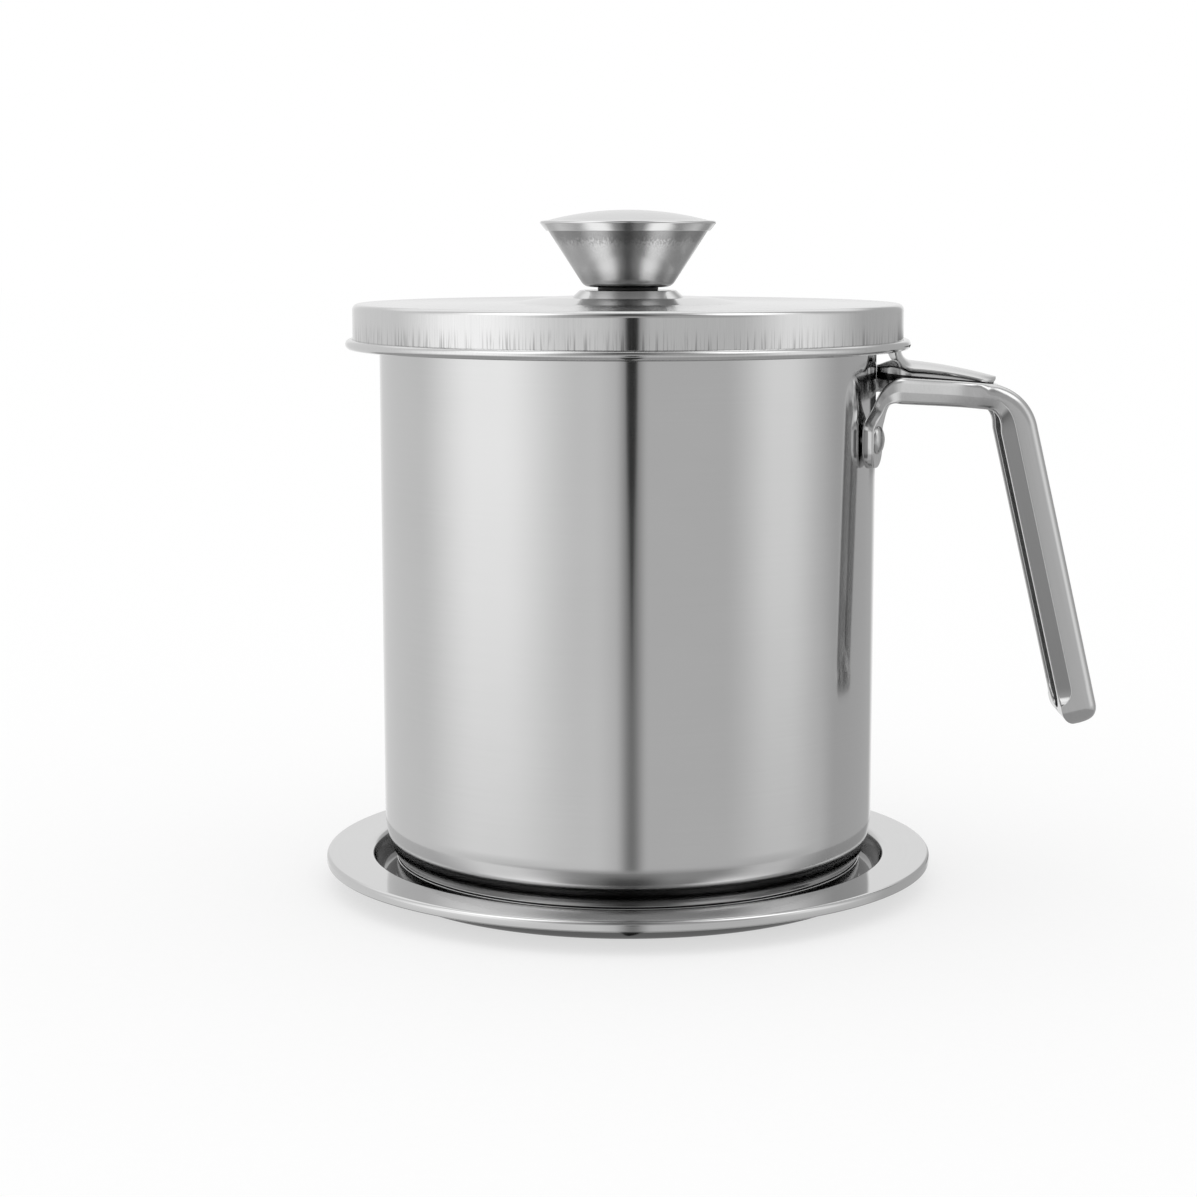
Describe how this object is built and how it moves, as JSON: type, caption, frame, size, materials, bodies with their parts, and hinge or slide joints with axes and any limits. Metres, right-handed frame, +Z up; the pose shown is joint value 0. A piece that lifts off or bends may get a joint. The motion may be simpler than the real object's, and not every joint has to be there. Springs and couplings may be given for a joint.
{
  "type": "bacon grease container",
  "caption": "Round stainless steel grease pot with a strainer insert, a lid with a flared knob, a riveted hanging handle with a thumb plate, and a drip tray.",
  "frame": {"origin": "on the pot's axis, at the underside of the drip tray's floor", "axes": "+Z up along the pot's axis, +X towards the handle"},
  "size_m": [0.1889, 0.149, 0.1639],
  "materials": {
    "polished_steel": "polished stainless steel with a faint upright grain",
    "satin_steel": "satin stainless steel",
    "bare_steel": "plain stainless steel",
    "dull_aluminium": "plain sawn aluminium, hidden in the base",
    "black_rubber": "matt black"
  },
  "bodies": {
    "tray": {"drip_tray": "polished_steel"},
    "pot": {"pot_body": "polished_steel", "base_cap": "polished_steel", "base_core": "dull_aluminium", "handle_grip": "satin_steel", "thumb_web": "satin_steel", "thumb_plate": "polished_steel", "handle_rivet_near": "bare_steel", "rivet_burr_near": "bare_steel", "handle_rivet_far": "bare_steel", "rivet_burr_far": "bare_steel"},
    "strainer": {"strainer_collar": "polished_steel", "strainer_net": "satin_steel", "strainer_clamp_ring": "satin_steel"},
    "lid": {"lid_shell": "polished_steel", "knob_base": "satin_steel", "knob_spacer": "black_rubber", "knob_shell": "satin_steel", "knob_cap": "satin_steel", "knob_core": "bare_steel", "knob_screw": "bare_steel", "flat_washer": "bare_steel", "lock_washer": "bare_steel"}
  },
  "joints": [
    {"name": "pot_lift", "type": "slide", "parent": "tray", "child": "pot", "axis": [0, 0, 1], "range_m": [0, 0.03]},
    {"name": "strainer_lift", "type": "slide", "parent": "pot", "child": "strainer", "axis": [0, 0, 1], "range_m": [0, 0.06]},
    {"name": "lid_lift", "type": "slide", "parent": "strainer", "child": "lid", "axis": [0, 0, 1], "range_m": [0, 0.04]}
  ]
}
